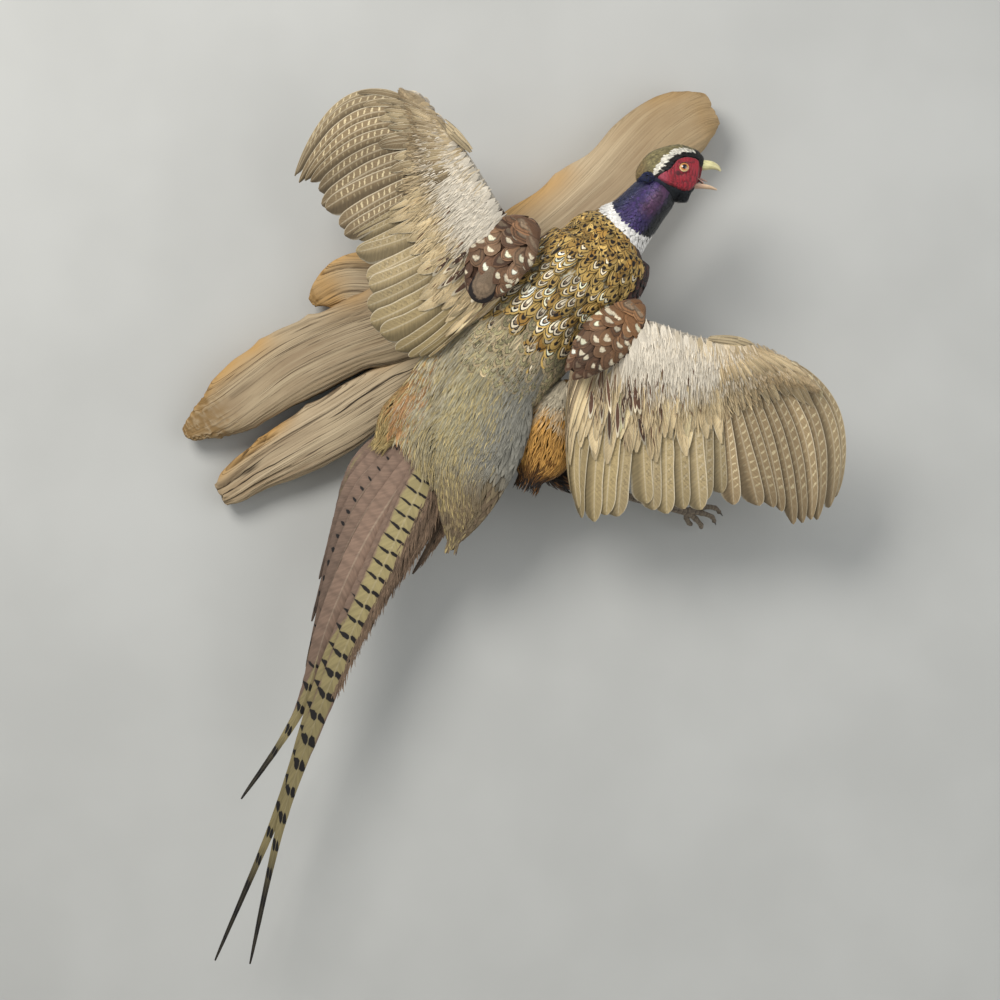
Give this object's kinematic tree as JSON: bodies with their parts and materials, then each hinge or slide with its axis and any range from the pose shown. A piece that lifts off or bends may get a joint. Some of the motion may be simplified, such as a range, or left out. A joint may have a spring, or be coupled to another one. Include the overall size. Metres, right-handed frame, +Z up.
{
  "type": "taxidermy pheasant",
  "caption": "Cock ring-necked pheasant mounted in flight with spread wings and a long tail, on a weathered driftwood wall mount.",
  "frame": {"origin": "middle of the hanger's back face, in the plane of the wall", "axes": "+Z up the wall, -Y out of the wall to the viewer, +X to the viewer's right; the tail points down and to -X, the head up and to +X"},
  "size_m": [0.6503, 0.1858, 0.8591],
  "materials": {
    "wood": "weathered, matt, with long grain",
    "steel": "plain zinc grey",
    "head": "short glossy feathers",
    "bill": "horn, satin",
    "mouth": "dried skin, satin",
    "eye": "polished glass eye, opaque",
    "wattle": "wrinkled bare skin, satin",
    "neck": "short glossy feathers",
    "mantle": "feathers, satin",
    "scapular": "feathers, satin",
    "rump": "long loose feathers, matt",
    "flank": "loose feathers, matt",
    "thigh": "short downy feathers, matt",
    "covert": "feathers, satin",
    "flight": "stiff vanes, satin",
    "tail": "stiff vanes, satin",
    "leg": "scaled dry skin, satin",
    "claw": "horn, satin"
  },
  "bodies": {
    "root": {"trunk": "mantle", "head": "head", "neck": "neck", "bill_upper": "bill", "bill_lower": "bill", "tongue": "mouth", "eye_right": "eye", "wattle_right": "wattle", "ear_tuft_right": "neck", "eye_left": "eye", "wattle_left": "wattle", "ear_tuft_left": "neck", "tail_coverts": "rump", "flank_right": "flank", "flank_left": "flank", "tail_right_1": "tail", "tail_left_1": "tail", "tail_right_2": "tail", "tail_left_2": "tail", "tail_right_3": "tail", "tail_left_3": "tail", "tail_right_4": "tail", "tail_left_4": "tail", "tail_right_5": "tail", "tail_left_5": "tail", "tail_right_6": "tail", "tail_left_6": "tail", "wing_left_arm": "covert", "wing_left_primaries": "flight", "wing_left_secondaries": "flight", "wing_left_scapulars": "scapular", "wing_left_alula": "covert", "wing_right_arm": "covert", "wing_right_primaries": "flight", "wing_right_secondaries": "flight", "wing_right_scapulars": "scapular", "wing_right_alula": "covert", "thigh_right": "thigh", "foot_right": "leg", "claw_right_1": "claw", "claw_right_2": "claw", "claw_right_3": "claw", "claw_right_4": "claw", "thigh_left": "thigh", "foot_left": "leg", "claw_left_1": "claw", "claw_left_2": "claw", "claw_left_3": "claw", "claw_left_4": "claw", "driftwood": "wood", "hanger": "steel"}
  },
  "joints": []
}
